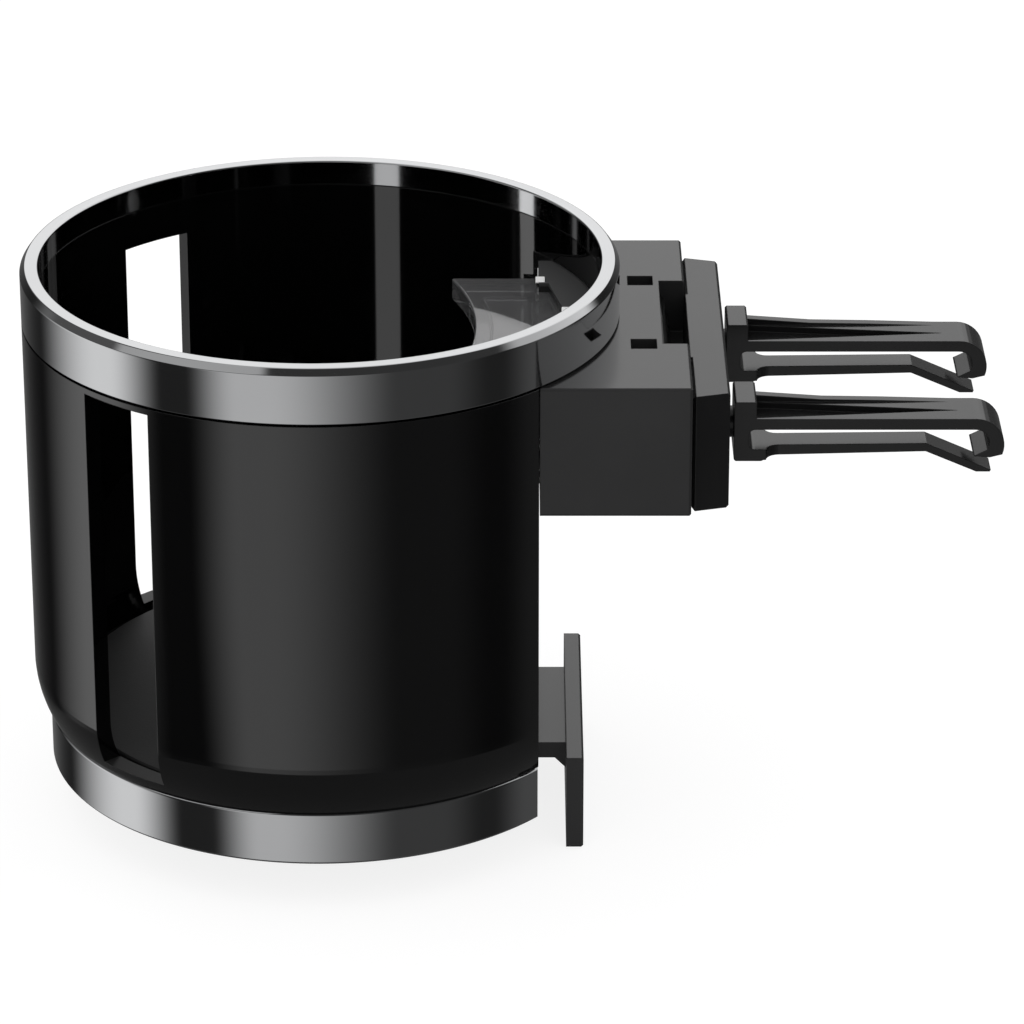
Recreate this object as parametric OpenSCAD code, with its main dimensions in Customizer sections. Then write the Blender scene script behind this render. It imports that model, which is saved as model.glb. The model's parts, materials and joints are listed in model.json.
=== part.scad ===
// Cup holder that hangs on a car's air vent. Millimetres, +Z up.
// The origin is on the cup's axis, in the plane that the base ring stands on.
// +X points at the vent, so the block, the vent clips and the foot are on that side.

/* [Cup] */
// Outer radius of the cup and of its top ring
cup_r = 42; // [40:0.5:46]
// Thickness of the cup's round wall
cup_wall = 2.5; // [2:0.1:3]
// Height of the whole cup, up to the top of the top ring
cup_h = 75; // [70:1:95]
// Depth of the cut that makes the cup's back flat
back_cut = 11.4; // [10:0.2:13]
// Thickness of the flat back below the pad
flat_wall = 2; // [1.6:0.1:2.4]
// Drop from the rim to the top of the round wall
shoulder_drop = 8.24; // [7.5:0.1:9.5]
// Radius of the curve that draws the wall in at the bottom
foot_curve_r = 15.5; // [14:0.5:18]
// Height at which that curve starts
foot_curve_z = 15.7; // [14:0.1:18]

/* [Windows] */
// Angle from the front of the cup to the near side of each window
window_from = 42.1; // [35:0.5:46]
// Angle that each window spans
window_span = 16.1; // [10:0.5:20]
// Height of the sill above the mat
window_sill = 0.5; // [0.3:0.1:3]

/* [Rings] */
// Height of the top ring's outer band
top_band_h = 7.01; // [5:0.1:7.5]
// Width of the bright face on top of the rim
rim_w = 1.93; // [1.6:0.1:2.2]
// Chamfer of the rim, measured across
rim_chamfer = 0.68; // [0.3:0.05:0.9]
// Height of the base ring
base_h = 8.1; // [7.5:0.1:9]
// How far the base ring stands in from the cup's outer radius
base_inset = 2.1; // [2:0.1:3.5]
// Thickness of the top ring's band
ring_wall = 1.2; // [0.9:0.05:1.3]
// Thickness of the base ring's band
base_wall = 1.6; // [1.2:0.1:2]

/* [Floor] */
// Thickness of the cup's moulded floor
floor_t = 1.6; // [1.2:0.1:2]
// Thickness of the loose rubber mat
mat_t = 1; // [0.6:0.1:1.5]
// Gap between the mat and the wall around it
mat_gap = 0.5; // [0.3:0.1:1]
// Thickness of the cover under the base
cover_t = 1.6; // [1.2:0.1:2]

/* [Block] */
// Width of the block behind the cup
block_w = 57.14; // [54:0.2:57.4]
// Height of the block
block_h = 18.91; // [18:0.1:22]
// Distance from the flat back to the block's rear face
block_d = 20.85; // [20:0.1:24]
// Drop from the rim to the block's top
block_drop = 8.25; // [8:0.05:10]
// Thickness of the block's side and bottom walls
block_wall = 1.6; // [1.2:0.1:2]
// Width of the slot for the vent bracket
slot_w = 24; // [20:0.5:24.4]
// Depth of that slot, from the block's rear face
slot_d = 3.65; // [3.4:0.05:3.8]
// Chamfer along the block's outer edges
block_edge = 0.3; // [0.1:0.05:0.6]
// Side of each square latch window on top of the block
latch_w = 3.6; // [3:0.1:3.8]
// Distance from the centre to each latch window
latch_y = 10.3; // [10.2:0.1:11.5]

/* [Pad] */
// Width of the clear pad that steadies the cup
pad_w = 37.3; // [34:0.2:37.6]
// Thickness of the pad
pad_t = 3.3; // [3:0.1:3.6]
// How far the middle of the pad's hollow front stands in from the flat back
pad_reach = 8.9; // [7:0.1:10]
// Radius of that hollow front
pad_curve_r = 50; // [44:1:60]
// How far a wide cup can push the pad back
pad_travel = 8; // [5:0.5:8]

/* [Vent bracket] */
// Width of the bracket's plate at its front
plate_w = 52.8; // [48:0.2:54]
// How much each end of the plate leans in
plate_lean = 1.4; // [0:0.1:2]
// Thickness of the plate
plate_t = 5.15; // [4.8:0.05:5.8]
// Chamfer round the plate's front, next to the block
plate_edge = 0.45; // [0.2:0.05:0.6]
// Height of the plate
plate_h = 17; // [15:0.5:18]
// Distance from the centre to each vent clip
clip_y = 14.4; // [13:0.1:16]

/* [Vent clips] */
// Width of a clip
clip_w = 7.65; // [6:0.05:9]
// Length of a clip's square head
head_l = 3.1; // [2.6:0.1:4]
// Height of the head
head_h = 8.8; // [8.6:0.1:9.4]
// Radius of the stem that turns in the plate
stem_r = 2.2; // [1.8:0.1:2.4]
// Height of the gap that a vent's vane goes into
grip_gap = 3; // [2.4:0.1:3.1]
// Length from the head's front face to the middle of the hook's curve
hook_x = 33.5; // [28:0.5:40]
// Outer radius of the hook at the end of the upper arm
hook_r = 3.95; // [3.7:0.05:4.2]
// Thickness of the hook
hook_t = 1.95; // [1.5:0.05:2.2]
// Width of the springy lower arm
lower_arm_w = 4.2; // [3:0.1:5]
// How far the lower arm's tip bends down
tip_drop = 4; // [2:0.1:4.5]

/* [Foot] */
// Width of the foot's plate
foot_w = 41.6; // [34:0.2:44]
// Height of the foot's plate
foot_h = 14.1; // [10:0.1:16]
// Thickness of the foot's plate
foot_t = 2.45; // [2:0.05:3]
// Width of the foot's tongue
tongue_w = 25.12; // [20:0.1:26]
// Thickness of the tongue
tongue_t = 2.4; // [2:0.1:2.6]
// Distance from the flat back to the foot's plate when it is pushed in
foot_gap = 4; // [3:0.1:6]
// How far the foot pulls out
foot_travel = 18; // [10:1:18]

/* [Fit] */
// Running clearance of a part that slides
slide_gap = 0.1; // [0.05:0.01:0.15]
// Running clearance of a clip's stem in its bore, on the radius
stem_gap = 0.05; // [0.02:0.01:0.08]
// Gap at the seams between fixed parts
seam = 0.1; // [0.05:0.01:0.15]

/* [Hidden] */
$fn = 96;
eps = 0.01;
far = 200;

// The flat back
flat_x = cup_r - back_cut;

// Heights of the cup
base_lip = 0.8;
skirt_z = base_lip + seam;
floor_z = base_h + seam;
floor_under = floor_z - floor_t;
mat_top = floor_z + mat_t;
shoulder_z = cup_h - shoulder_drop;
rim_in = cup_r - rim_chamfer - rim_w;
band_top = cup_h - 0.93;
band_z = band_top - top_band_h;
neck_r = cup_r - ring_wall - seam;
neck_top = cup_h - 3.7;
inner_r = cup_r - cup_wall;

// The skirt that the base ring is pressed on
base_r = cup_r - base_inset;
skirt_r = base_r - base_wall - seam;
skirt_wall = 1.8;
skirt_flat = flat_x - seam;

// Heights of the block and of the pad in it
block_x = flat_x + seam;
block_rear = flat_x + block_d;
block_top = cup_h - block_drop;
block_z = block_top - block_h;
ledge_z = block_top - 0.75;
ledge_t = 1.3;
ledge_w = 43.8;
channel_w = pad_w + 4.1;
channel_top = ledge_z - ledge_t;
pad_top = channel_top - slide_gap;
pad_z = pad_top - pad_t;
bed_top = pad_z - slide_gap;
bed_t = 1.5;
bed_z = bed_top - bed_t;
bed_w = channel_w - 2 * slide_gap;
shelf_t = 1.2;
shelf_top = ledge_z + 0.05;
thin_wall = 0.6;
thick_top = bed_top + 0.7;

// The slot for the vent bracket, and the pad's run in front of it
slot_x = block_rear - slot_d;
socket_wall = 0.8;
socket_side = 1.5;
latch_x = slot_x - socket_wall - seam / 2 - latch_w;
run_end = latch_x + seam;
pad_rear = run_end - seam - pad_travel - 0.25;
spring_end = latch_x + 2.2;
spring_y = 5.5;
spring_r = 1.1;
spring_wire = 0.35;
spring_turns = 6;
pad_mid_z = pad_z + pad_t / 2;
pad_front = flat_x - pad_reach;

// The bite in the block's ledge, from the flat back, and the white shoes at its corners
bite_y = 15.6;
bite_d = 1;
bite_mid_y = 1.7;
bite_mid_d = 3.8;
shoe_in = 0.35;
shoe_w = 2.15;
shoe_lip = 0.4;
mid_shoe_w = 7.4;
mid_shoe_x = flat_x + bite_mid_d - 0.5;
mid_shoe_l = 1.7;

// The bracket's tongue in the slot
slot_floor = block_z + 1.65;
lip_top = slot_floor + 9.5;
flange_t = 1.25;
web_w = 10;
lip_x = slot_x + 1.65;
plate_x = block_rear + seam;
plate_top = block_top - 2.05;
plate_z = plate_top - plate_h;
boss_gap = 0.2;

// The clips on the bracket
axis_z = plate_z + 8.4;
head_x = plate_x + plate_t + 0.9;
washer_t = 0.4;
washer_r = 3.2;
screw_head_h = 1.25;
bearing_x = plate_x + washer_t + screw_head_h + 1;
stem_end = bearing_x - 0.05;

// Top and underside of a clip's upper arm, from the axis
arm_top = 1.9;
arm_under = 0.3;

// The foot and its guides in the base
tongue_z = cover_t + 1.4;
tongue_top = tongue_z + tongue_t;
tongue_ear = 1.6;
ear_l = 2;
ear_stop = 0.7;
tongue_back = skirt_flat - skirt_wall - foot_travel - ear_l - ear_stop;
plate_foot_x = flat_x + foot_gap;
foot_z = -7.1;
rail_y = tongue_w / 2 + tongue_ear + 0.2;
rail_w = 1.5;
rail_in = 4;
rib_y = tongue_w / 2 - 3.56;

// Screws
screw_r = 0.9;
pilot_gap = 0.05;
base_boss_r = 2.8;
base_head_r = 2.1;
base_screw_sink = 1;
base_screw_ring = skirt_r - skirt_wall - base_boss_r - 3.5;
base_screw_at = [for (a = [-135, -56, 56, 135]) base_screw_ring * [cos(a), sin(a)]];
block_screw_y = block_w / 2 - 4.57;
block_screw_l = 7;
block_boss_r = 2.6;
block_head_r = 2.1;
block_screw_z = [block_z + 4, bed_z - seam - block_boss_r - 0.3];

// Points on an arc from angle a to angle b about [x, y], in n steps
function arc(x, y, r, a, b, n) =
    [for (i = [0:n]) [x + r * cos(a + (b - a) * i / n), y + r * sin(a + (b - a) * i / n)]];

// Radius of the wall's inner face at a height on the curve
function inner_r_at(z) = cup_r - foot_curve_r
    + sqrt(pow(foot_curve_r - cup_wall, 2) - pow(foot_curve_z - z, 2));

// A box given by its two corners
module box(a, b) {
    translate(a) cube([b.x - a.x, b.y - a.y, b.z - a.z]);
}

// A box that is centred on the XZ plane
module slab(x0, x1, w, z0, z1) {
    box([x0, -w / 2, z0], [x1, w / 2, z1]);
}

// A cylinder that lies along X
module rod(x0, x1, r, y, z) {
    translate([x0, y, z]) rotate([0, 90, 0]) cylinder(h = x1 - x0, r = r);
}

// A copy on each side of the XZ plane
module both_sides() {
    children();
    mirror([0, 1, 0]) children();
}

// Everything in front of the flat back
module in_front_of(x) {
    box([-far, -far, -far], [x, far, far]);
}

// Half section of all that lies inside the wall's outer face, or inside a face set in from it
module wall_section(set_in) {
    steps = 10;
    curve = foot_curve_r - set_in;
    polygon(concat(
        [[0, floor_z], [0, shoulder_z], [cup_r - set_in, shoulder_z]],
        arc(cup_r - foot_curve_r, foot_curve_z, curve, 0, -asin((foot_curve_z - floor_z) / curve), steps)));
}

// One tall opening in the round wall
module window() {
    from = 180 - window_from;
    linear_extrude(shoulder_z - 0.86 - mat_top - window_sill)
        polygon([[0, 0], [far * cos(from), far * sin(from)],
                 [far * cos(from - window_span), far * sin(from - window_span)]]);
}

// The ribs under the floor that hold the tongue down, and the screw bosses
module under_floor() {
    both_sides() box([tongue_back + 2, rib_y, tongue_top + slide_gap],
                     [skirt_flat - skirt_wall + eps, rib_y + rail_w, floor_under + eps]);
    for (p = base_screw_at) translate([p.x, p.y, cover_t + seam])
        cylinder(h = floor_under - cover_t - seam + eps, r = base_boss_r);
}

// The round wall with its flat back, on a moulded floor
module cup_shell() {
    intersection() {
        rotate_extrude() wall_section(0);
        in_front_of(flat_x);
    }
    intersection() {
        translate([0, 0, skirt_z]) cylinder(h = floor_z - skirt_z + eps, r = skirt_r);
        in_front_of(skirt_flat);
    }
}

// The full circle that stands above the shoulder, inside the top ring, and the shelf at its back
module cup_neck() {
    translate([0, 0, shelf_top]) cylinder(h = neck_top - shelf_top, r = neck_r);
    intersection() {
        translate([0, 0, shelf_top - shelf_t]) cylinder(h = shelf_t + eps, r = neck_r);
        both_sides() box([flat_x - thin_wall, ledge_w / 2 + seam, 0], [far, far, far]);
    }
}

// The inside of the cup, which is thinner-backed above the pad's bed
module cup_inside() {
    intersection() {
        rotate_extrude() wall_section(cup_wall);
        in_front_of(flat_x - flat_wall);
    }
    intersection() {
        translate([0, 0, thick_top]) cylinder(h = far, r = inner_r);
        in_front_of(flat_x - thin_wall);
    }
    translate([0, 0, shelf_top]) cylinder(h = far, r = inner_r);
}

module cup_body() {
    color("#141416") difference() {
        union() {
            cup_shell();
            cup_neck();
        }
        cup_inside();
        // The room for the foot's tongue under the floor
        difference() {
            intersection() {
                cylinder(h = floor_under, r = skirt_r - skirt_wall);
                in_front_of(skirt_flat - skirt_wall);
            }
            under_floor();
        }
        // The way through for the pad
        slab(flat_x - flat_wall - 1, flat_x + eps, pad_w + 3 * slide_gap, bed_top, shelf_top + eps);
        both_sides() translate([0, 0, mat_top + window_sill]) window();
        // The way through for the foot's tongue
        slab(skirt_flat - skirt_wall - 1, far, tongue_w + 2 * slide_gap,
             tongue_z - slide_gap, tongue_top + slide_gap);
        // Screw holes under the floor and in the flat back
        for (p = base_screw_at) translate([p.x, p.y, 0])
            cylinder(h = floor_under + 0.5, r = screw_r + pilot_gap);
        both_sides() for (z = block_screw_z) {
            rod(flat_x - flat_wall - 1, flat_x + 1, screw_r + 0.15, block_screw_y, z);
            translate([flat_x - flat_wall - eps, block_screw_y, z]) rotate([0, 90, 0])
                cylinder(h = 1.4, r1 = block_head_r + 0.3, r2 = screw_r + 0.1);
        }
    }
}

module top_ring() {
    color("#8d9094") rotate_extrude($fn = 128) polygon([
        [neck_r + seam, band_z], [cup_r, band_z], [cup_r, band_top],
        [cup_r - rim_chamfer, cup_h], [rim_in, cup_h], [rim_in, neck_top + seam],
        [neck_r + seam, neck_top + seam]]);
}

module base_ring() {
    flange_r = skirt_r - skirt_wall + 0.2;
    color("#7c7f83") intersection() {
        rotate_extrude($fn = 128) polygon([
            [flange_r, 0], [base_r - 0.3, 0], [base_r, 0.3], [base_r, base_h - 0.5],
            [base_r - 0.5, base_h], [skirt_r + seam, base_h], [skirt_r + seam, base_lip],
            [flange_r, base_lip]]);
        in_front_of(skirt_flat);
    }
}

module floor_mat() {
    edge = 0.25;
    mat_r = inner_r_at(floor_z) - mat_gap;
    color("#3a3a3b") intersection() {
        rotate_extrude() polygon([
            [0, floor_z], [mat_r, floor_z], [mat_r, mat_top - edge],
            [mat_r - edge, mat_top], [0, mat_top]]);
        in_front_of(flat_x - flat_wall - mat_gap);
    }
}

module base_cover() {
    cover_x = skirt_flat - skirt_wall - seam;
    color("#1c1c1e") difference() {
        union() {
            intersection() {
                cylinder(h = cover_t, r = skirt_r - skirt_wall - seam);
                in_front_of(cover_x);
            }
            both_sides() {
                box([tongue_back - 3, rail_y, cover_t - eps],
                    [cover_x, rail_y + rail_w, floor_under - seam]);
                box([tongue_back - 3, tongue_w / 2 - rail_in, cover_t - eps],
                    [cover_x, tongue_w / 2 - rail_in + rail_w, tongue_z - slide_gap]);
            }
        }
        for (p = base_screw_at) translate([p.x, p.y, 0]) {
            translate([0, 0, -1]) cylinder(h = 1 + base_screw_sink, r = base_head_r + 0.3);
            cylinder(h = far, r = screw_r + 0.2);
        }
    }
}

module base_screws() {
    head_h = 0.9;
    head_z = base_screw_sink - head_h - 0.05;
    color("#b9bcc0") for (p = base_screw_at) translate([p.x, p.y, head_z]) difference() {
        union() {
            cylinder(h = head_h, r = base_head_r);
            cylinder(h = floor_under - head_z, r = screw_r);
        }
        for (a = [0, 90]) rotate(a) translate([-1.2, -0.2, -eps]) cube([2.4, 0.4, 0.5]);
    }
}

// The block's outline, with its long edges taken off. What stands beside the round neck is cut lower
module block_envelope() {
    half = block_w / 2;
    e = block_edge;
    difference() {
        intersection() {
            linear_extrude(far) polygon([
                [block_x, -half], [block_rear - e, -half], [block_rear, -half + e],
                [block_rear, half - e], [block_rear - e, half], [block_x, half]]);
            across(-far, far) polygon([
                [block_x, block_z], [block_rear - e, block_z], [block_rear, block_z + e],
                [block_rear, block_top - e], [block_rear - e, block_top], [block_x, block_top]]);
            rotate([90, 0, 90]) linear_extrude(far) polygon([
                [-half + e, block_z], [half - e, block_z], [half, block_z + e],
                [half, block_top - e], [half - e, block_top], [-half + e, block_top],
                [-half, block_top - e], [-half, block_z + e]]);
        }
        translate([0, 0, ledge_z]) cylinder(h = far, r = neck_r + seam);
        difference() {
            translate([0, 0, shelf_top - shelf_t - seam]) cylinder(h = far, r = neck_r + seam);
            slab(0, far, ledge_w, 0, far);
        }
    }
}

module bracket_housing() {
    side_top = shelf_top - shelf_t - seam - ledge_t;
    inner_w = block_w - 2 * block_wall;
    inner_z = block_z + block_wall;
    inner_x = block_rear - block_wall;
    boss_l = block_screw_l;
    bite_x = flat_x + bite_d;
    bite_mid_x = flat_x + bite_mid_d;
    lip_y = bite_y - shoe_w - seam - shoe_lip;
    bite_lip_x = bite_x + (bite_mid_x - bite_x) * (bite_y - lip_y) / (bite_y - bite_mid_y);
    color("#2a2a2c") difference() {
        union() {
            difference() {
                block_envelope();
                difference() {
                    union() {
                        slab(block_x - 1, inner_x, inner_w, inner_z, side_top);
                        slab(block_x - 1, inner_x, channel_w, inner_z, channel_top);
                    }
                    slab(slot_x - socket_wall, far, slot_w + 2 * socket_side, 0, far);
                }
            }
            // Shelves that the pad's bed lies on
            both_sides() box([block_x, bed_w / 2 - 2, bed_z - seam - 1.3],
                             [run_end, inner_w / 2 + eps, bed_z - seam / 2]);
            // Bosses for the screws from inside the cup
            both_sides() for (z = block_screw_z)
                rod(block_x, block_x + boss_l, block_boss_r, block_screw_y, z);
        }
        // The slot for the bracket: a wide mouth on top, and lips below it
        slab(slot_x, far, slot_w, lip_top, far);
        slab(slot_x, lip_x, slot_w, slot_floor, lip_top + eps);
        slab(lip_x - eps, far, web_w + 0.4, slot_floor, lip_top + eps);
        // The curved bite in the ledge that leaves the pad open to view
        translate([0, 0, channel_top - eps]) linear_extrude(far)
            polygon([[flat_x - 1, -lip_y], [bite_lip_x, -lip_y], [bite_mid_x, -bite_mid_y],
                     [bite_mid_x, bite_mid_y], [bite_lip_x, lip_y], [flat_x - 1, lip_y]]);
        // The seats of the shoes
        both_sides() box([flat_x - 1, bite_y - shoe_w - seam, channel_top - eps],
                         [bite_x + seam / 2, bite_y, far]);
        slab(mid_shoe_x - 1, mid_shoe_x + mid_shoe_l + seam, mid_shoe_w + 2 * seam, channel_top - eps, far);
        // Latch windows
        both_sides() box([latch_x, latch_y, channel_top - eps],
                         [latch_x + latch_w, latch_y + latch_w, far]);
        both_sides() for (z = block_screw_z)
            rod(block_x - 1, block_x + boss_l - 1, screw_r + pilot_gap, block_screw_y, z);
    }
}

module housing_screws() {
    head_x0 = flat_x - flat_wall + 0.1;
    shank_l = block_screw_l;
    color("#b9bcc0") both_sides() for (z = block_screw_z) translate([head_x0, block_screw_y, z])
        rotate([0, 90, 0]) difference() {
            union() {
                cylinder(h = 1.2, r1 = block_head_r, r2 = screw_r);
                cylinder(h = shank_l, r = screw_r);
            }
            for (a = [0, 90]) rotate(a) translate([-block_head_r / 2, -0.2, -eps])
                cube([block_head_r, 0.4, 0.6]);
        }
}

module slide_bed() {
    back_wall = slot_x - socket_wall - seam;
    post_l = spring_wire * spring_turns;
    color("#222224") union() {
        slab(block_x, back_wall, bed_w, bed_z, bed_top);
        slab(spring_end, back_wall, 2 * latch_y - 0.6, bed_z, pad_top);
        both_sides() {
            rod(spring_end - post_l, spring_end + eps, 0.7, spring_y, pad_mid_z);
            // Latch hooks that spring into the windows on top of the block
            box([latch_x + 0.15, latch_y + 0.15, bed_top - eps],
                [latch_x + latch_w - 0.15, latch_y + latch_w - 0.15, channel_top + 0.5]);
        }
    }
}

module guide_shoes() {
    shoe_z = channel_top;
    color("#f0f0f0") {
        both_sides() box([flat_x - shoe_in, bite_y - seam / 2 - shoe_w, shoe_z],
                         [flat_x + bite_d, bite_y - seam / 2, shelf_top]);
        slab(mid_shoe_x, mid_shoe_x + mid_shoe_l, mid_shoe_w, shoe_z, shelf_top);
    }
}

// One coil of a compression spring, swept as a tube of six sides
module coil(length, turns, r, wire_r) {
    sides = 6;
    per_turn = 14;
    count = turns * per_turn;
    rings = [for (i = [0:count]) let (
        a = 360 * i / per_turn,
        x = wire_r + (length - 2 * wire_r) * i / count)
        for (k = [0:sides - 1]) let (b = 360 * k / sides, q = r + wire_r * cos(b))
            [x + wire_r * sin(b), q * cos(a), q * sin(a)]];
    skin = [for (i = [0:count - 1]) for (k = [0:sides - 1]) let (
        n = (k + 1) % sides, p = i * sides, q = p + sides)
        [p + k, p + n, q + n, q + k]];
    ends = [[for (k = [sides - 1:-1:0]) k], [for (k = [0:sides - 1]) count * sides + k]];
    polyhedron(points = rings, faces = concat(skin, ends));
}

module pad_springs() {
    from = pad_rear + 0.05;
    color("#c9ccd0") for (side = [-1, 1]) translate([from, side * spring_y, pad_mid_z])
        coil(spring_end - 0.05 - from, spring_turns, spring_r, spring_wire / 2);
}

// The hollow front of the pad: everything behind an arc about a point on the cup's side
module behind_front(offset_x) {
    difference() {
        translate([0, -far / 2]) square([far, far]);
        translate([pad_front + offset_x - pad_curve_r, 0]) circle(r = pad_curve_r, $fn = 192);
    }
}

module stabiliser_pad() {
    skin = 1.2;
    rim = 2.3;
    ear_w = 1.85;
    pocket_w = pad_w - 12.7;
    pocket_back = flat_x - 1;
    color([0.5, 0.5, 0.52, 0.4]) difference() {
        translate([0, 0, pad_z]) linear_extrude(pad_t) union() {
            intersection() {
                behind_front(0);
                translate([0, -pad_w / 2]) square([pad_rear, pad_w]);
            }
            translate([flat_x + seam, -pad_w / 2 - ear_w])
                square([pad_rear - flat_x - seam, pad_w + 2 * ear_w]);
        }
        // The pocket under the pad follows its hollow front
        translate([0, 0, pad_z - eps]) linear_extrude(pad_t - skin) intersection() {
            behind_front(rim);
            translate([0, -pocket_w / 2]) square([pocket_back, pocket_w]);
        }
    }
}

module vent_bracket() {
    front = plate_w / 2;
    rear = front - plate_lean;
    edge = 0.35;
    flange_x = slot_x + 0.2;
    tip_t = 0.65;
    step_z = plate_top - 3;
    color("#2a2a2c") difference() {
        union() {
            // The plate: its plan crossed with its chamfered side view
            intersection() {
                translate([0, 0, plate_z]) linear_extrude(plate_h) polygon([
                    [plate_x, -front + plate_edge], [plate_x + plate_edge, -front],
                    [plate_x + plate_t, -rear], [plate_x + plate_t, rear],
                    [plate_x + plate_edge, front], [plate_x, front - plate_edge]]);
                across(-far, far) polygon([
                    [plate_x, plate_z + plate_edge], [plate_x + plate_edge, plate_z],
                    [plate_x + plate_t - edge, plate_z], [plate_x + plate_t, plate_z + edge],
                    [plate_x + plate_t, plate_top - edge], [plate_x + plate_t - edge, plate_top],
                    [plate_x + plate_edge, plate_top], [plate_x, plate_top - plate_edge]]);
            }
            // The boss that closes the slot's mouth
            slab(block_rear + boss_gap, plate_x + plate_edge + eps, slot_w, plate_z, plate_top);
            // The web and the flange of the tongue
            slab(flange_x + flange_t - eps, plate_x + eps, web_w, slot_floor + seam, lip_top - 1);
            rotate([90, 0, 0]) translate([0, 0, -slot_w / 2 + 0.2]) linear_extrude(slot_w - 0.4)
                polygon([[flange_x, slot_floor + seam], [flange_x + flange_t, slot_floor + seam],
                         [flange_x + flange_t, step_z], [flange_x + tip_t, step_z + flange_t - tip_t],
                         [flange_x + tip_t, plate_top - tip_t], [flange_x, plate_top]]);
        }
        // Bore and counterbore of each clip
        both_sides() {
            rod(plate_x - 1, plate_x + plate_t + 1, stem_r + stem_gap, clip_y, axis_z);
            rod(plate_x - 1, bearing_x, washer_r + 0.2, clip_y, axis_z);
        }
    }
}

// Side view of a clip's head, upper arm and hook, from the head's front face and the axis
module clip_upper_profile() {
    half = head_h / 2;
    top = arm_top;
    under = arm_under;
    slot_u = 2.05;
    low = under - grip_gap;
    corner = 0.9;
    nose = 0.25;
    mid_w = top - hook_r;
    in_r = hook_r - hook_t;
    in_w = under - in_r;
    polygon(concat(
        [[0, -half + nose], [nose, -half], [head_l + 0.7, -half], [head_l + 1.2, low - 1.45],
         [head_l + 1.2, low]],
        arc(slot_u + corner, low + corner, corner, 270, 180, 4),
        arc(slot_u + corner, under - corner, corner, 180, 90, 4),
        arc(hook_x - 0.1, in_w, in_r, 90, -30, 10),
        [[hook_x - 0.3, top - hook_r - 1.6], [hook_x + 1.95, top - hook_r - 1.8]],
        arc(hook_x, mid_w, hook_r, -20, 90, 12),
        [[head_l, top], [head_l, half - nose], [head_l - nose, half], [nose, half], [0, half - nose]]));
}

// Side view of the springy lower arm, with its bent tip
module clip_lower_profile() {
    low = arm_under - grip_gap;
    bend_u = hook_x - 6.7;
    tip_u = hook_x + 2.37;
    rise = 0.25;
    polygon([
        [head_l - 0.5, low], [bend_u, low + rise], [tip_u, low + rise - tip_drop],
        [tip_u - 0.14, low + rise - tip_drop - 0.27], [tip_u - 2.05, low + rise - tip_drop - 0.27],
        [bend_u - 0.1, low + rise - 1.2], [head_l + 3.3, low - 1.45], [head_l - 0.5, low - 1.6]]);
}

// Plan of the lower arm: as wide as the head at its root, drawn in by a round fillet
module clip_lower_plan() {
    half = lower_arm_w / 2;
    fillet = (clip_w - lower_arm_w) / 2;
    start = head_l + 0.7;
    side = concat([[start, clip_w / 2]],
                  arc(start + fillet * 1.4, half + fillet, fillet, 180, 270, 6),
                  [[hook_x + 10, half]]);
    polygon(concat([[0, -clip_w / 2]], [[0, clip_w / 2]], side,
                   [for (i = [len(side) - 1:-1:0]) [side[i].x, -side[i].y]]));
}

// Side view drawn in X and Z, spread across Y from y0 to y1
module across(y0, y1) {
    translate([0, y1, 0]) rotate([90, 0, 0]) linear_extrude(y1 - y0) children();
}

module vent_clip(side) {
    half = clip_w / 2;
    top = arm_top;
    rail = 1.4;
    rail_bend = hook_x - 21.1;
    rail_flat = hook_x - 13;
    pocket_floor = 0.95;
    pocket_tip = hook_x - 2.4;
    color("#2a2a2c") translate([head_x, side * clip_y, axis_z]) difference() {
        union() {
            across(-half, half) clip_upper_profile();
            intersection() {
                across(-half, half) clip_lower_profile();
                translate([0, 0, -far / 2]) linear_extrude(far) clip_lower_plan();
            }
            // The raised rail along the far edge of the upper arm
            across(half - rail, half) polygon([
                [head_l - eps, top - 0.3], [head_l - eps, top + 1.02], [rail_bend, top + 0.37],
                [rail_flat, top + 0.25], [hook_x - 3, top - eps]]);
            rod(stem_end - head_x, eps, stem_r, 0, 0);
        }
        // The tapering hollow on top of the upper arm
        translate([0, 0, pocket_floor]) linear_extrude(far) polygon([
            [head_l, -half + 0.45], [head_l, half - rail], [pocket_tip, -0.6]]);
        // The screw hole in the stem
        rod(stem_end - head_x - 1, head_l * 0.5, screw_r + pilot_gap, 0, 0);
    }
}

module clip_washer(side) {
    color("#c9ccd0") difference() {
        rod(stem_end - washer_t, stem_end, washer_r, side * clip_y, axis_z);
        rod(stem_end - 1, stem_end + 1, screw_r + 0.15, side * clip_y, axis_z);
    }
}

module clip_screw(side) {
    seat = stem_end - washer_t;
    color("#b9bcc0") difference() {
        union() {
            rod(seat - screw_head_h, seat, 2, side * clip_y, axis_z);
            rod(seat - eps, head_x + head_l * 0.4, screw_r, side * clip_y, axis_z);
        }
        translate([seat - screw_head_h, side * clip_y, axis_z]) for (a = [0, 90]) rotate([a, 0, 0])
            box([-eps, -1.1, -0.2], [0.6, 1.1, 0.2]);
    }
}

module clip_near() { vent_clip(-1); }
module clip_far() { vent_clip(1); }
module clip_washer_near() { clip_washer(-1); }
module clip_washer_far() { clip_washer(1); }
module clip_screw_near() { clip_screw(-1); }
module clip_screw_far() { clip_screw(1); }

// A bowed leaf spring under the tongue, which keeps the foot where it is set
module foot_spring() {
    leaf_t = 0.3;
    leaf_w = 5;
    half_l = 7.5;
    crown = tongue_z - 0.05;
    foot = cover_t + 0.05;
    drop = crown - leaf_t - foot;
    bow_r = (half_l * half_l + drop * drop) / (2 * drop) + leaf_t;
    middle_x = skirt_flat - skirt_wall - half_l - 1.2;
    color("#c9ccd0") intersection() {
        translate([middle_x, leaf_w / 2, crown - bow_r]) rotate([90, 0, 0]) difference() {
            cylinder(h = leaf_w, r = bow_r, $fn = 256);
            translate([0, 0, -1]) cylinder(h = leaf_w + 2, r = bow_r - leaf_t, $fn = 256);
        }
        slab(middle_x - half_l, middle_x + half_l, far, foot, far);
    }
}

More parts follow.
